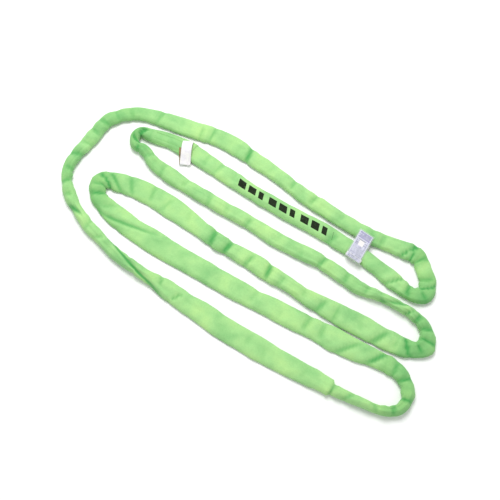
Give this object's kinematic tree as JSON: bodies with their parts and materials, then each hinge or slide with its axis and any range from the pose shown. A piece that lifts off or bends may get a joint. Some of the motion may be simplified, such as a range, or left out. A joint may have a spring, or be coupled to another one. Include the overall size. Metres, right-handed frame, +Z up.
{
  "type": "round sling",
  "caption": "Endless textile lifting sling: a yarn hank in a woven tubular sleeve, with sewn closure, flap label and tag, laid down in a flat coil.",
  "frame": {"origin": "under the middle of the laid-down coil, on the surface that it lies on", "axes": "+X along the runs, from the wide outer bight to the three bights at the other end, +Y towards the run beside the closure, +Z up"},
  "size_m": [1.0528, 0.4841, 0.026],
  "materials": {
    "sleeve_weave": "matt woven polyester",
    "load_yarn": "bundled polyester yarn",
    "binding_tape": "woven tape",
    "sleeve_thread": "sewing thread",
    "white_thread": "sewing thread",
    "white_tape": "woven tape",
    "clear_film": "clear soft vinyl",
    "label_stock": "printed label stock"
  },
  "bodies": {
    "root": {"sleeve": "sleeve_weave", "core_hank": "load_yarn", "core_binding": "binding_tape", "closure_stitch_1": "sleeve_thread", "closure_stitch_2": "sleeve_thread", "closure_stitch_3": "sleeve_thread", "closure_stitch_4": "sleeve_thread", "label_tongue": "white_tape", "label_stitch_1": "white_thread", "label_stitch_2": "white_thread", "tag_band": "white_tape", "tag_stitch_1": "white_thread"},
    "label_flap": {"label_cover": "clear_film", "label_insert": "label_stock"},
    "tag_flap": {"tag_tail": "white_tape"}
  },
  "joints": [
    {"name": "label_fold", "type": "hinge", "parent": "root", "child": "label_flap", "pos_m": [0.24106, 0.09864, 0.02129], "axis": [0.9948, -0.1021, 0], "range_deg": [0, 150]},
    {"name": "tag_fold", "type": "hinge", "parent": "root", "child": "tag_flap", "pos_m": [-0.27564, 0.12174, 0.00959], "axis": [-0.9999, 0.0129, 0], "range_deg": [0, 100]}
  ]
}
